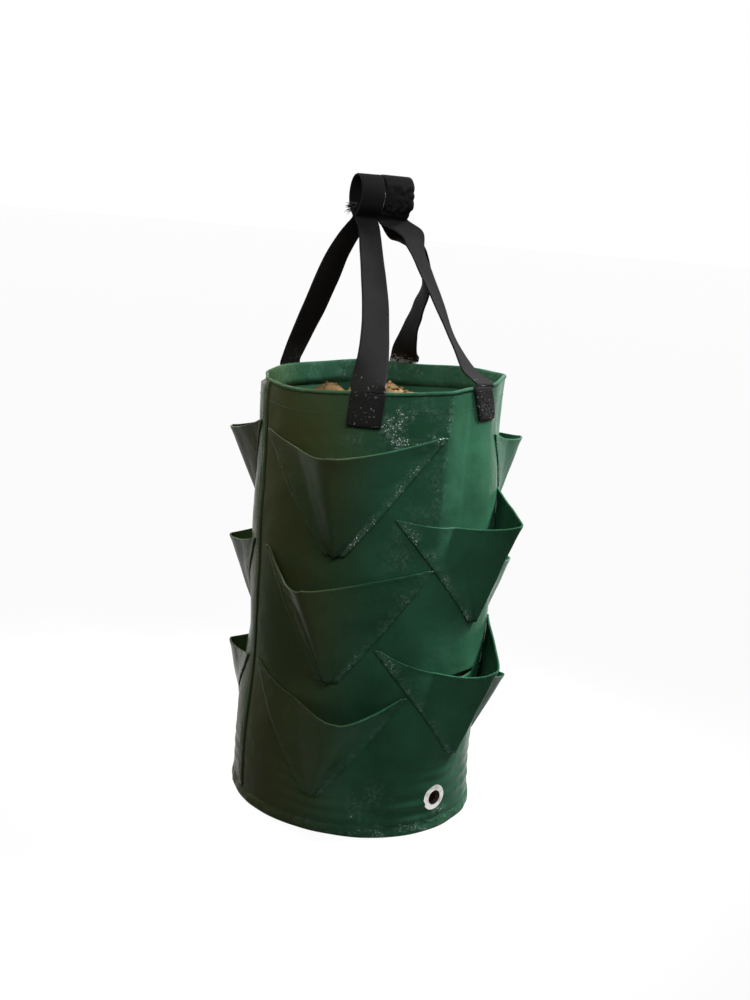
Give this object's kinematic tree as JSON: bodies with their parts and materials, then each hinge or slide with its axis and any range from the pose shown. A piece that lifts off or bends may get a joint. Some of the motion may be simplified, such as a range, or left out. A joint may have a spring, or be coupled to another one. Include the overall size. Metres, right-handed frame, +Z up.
{
  "type": "hanging planter bag",
  "caption": "Round upright planting bag of laminated cloth with rows of V-shaped side pockets, webbing handles drawn into a hanging eye, and drain eyelets.",
  "frame": {"origin": "centre of the base, on the plane that the bag stands on", "axes": "+Z up along the bag's axis, -Y towards the front between the two front strap ends, +X to the right"},
  "size_m": [0.2204, 0.2251, 0.504],
  "materials": {
    "laminate": "glossy laminated weave",
    "webbing": "ribbed weave",
    "thread": "shiny thread",
    "eyelet_metal": "nickel plated",
    "growing_medium": "rough crumbs"
  },
  "bodies": {
    "bag": {"bag_wall": "laminate", "base_panel": "laminate", "base_binding": "laminate", "rim_hem": "laminate", "rim_stitching": "thread", "side_seam": "laminate", "side_seam_stitching": "thread", "front_left_pocket_top": "laminate", "front_left_pocket_middle": "laminate", "front_left_pocket_bottom": "laminate", "front_right_pocket_upper": "laminate", "front_right_pocket_lower": "laminate", "right_pocket_top": "laminate", "right_pocket_middle": "laminate", "right_pocket_bottom": "laminate", "back_right_pocket_upper": "laminate", "back_right_pocket_lower": "laminate", "back_left_pocket_top": "laminate", "back_left_pocket_middle": "laminate", "back_left_pocket_bottom": "laminate", "front_left_strap_end": "webbing", "front_right_strap_end": "webbing", "back_right_strap_end": "webbing", "back_left_strap_end": "webbing", "front_left_strap_stitching": "thread", "front_right_strap_stitching": "thread", "back_right_strap_stitching": "thread", "back_left_strap_stitching": "thread", "front_drain_eyelet": "eyelet_metal", "front_eyelet_washer": "eyelet_metal", "back_drain_eyelet": "eyelet_metal", "back_eyelet_washer": "eyelet_metal", "growing_medium": "growing_medium"},
    "left_strap": {"left_handle": "webbing", "frayed_webbing_end": "webbing"},
    "right_strap": {"right_handle": "webbing"}
  },
  "joints": [
    {"name": "left_handle_fold", "type": "hinge", "parent": "bag", "child": "left_strap", "pos_m": [-0.063, -0.00358, 0.34738], "axis": [0.0567, -0.9981, 0.0222], "range_deg": [0, 112]},
    {"name": "right_handle_fold", "type": "hinge", "parent": "bag", "child": "right_strap", "pos_m": [0.05857, 0.00051, 0.35345], "axis": [-0.0087, 0.9998, -0.0198], "range_deg": [0, 112]}
  ]
}
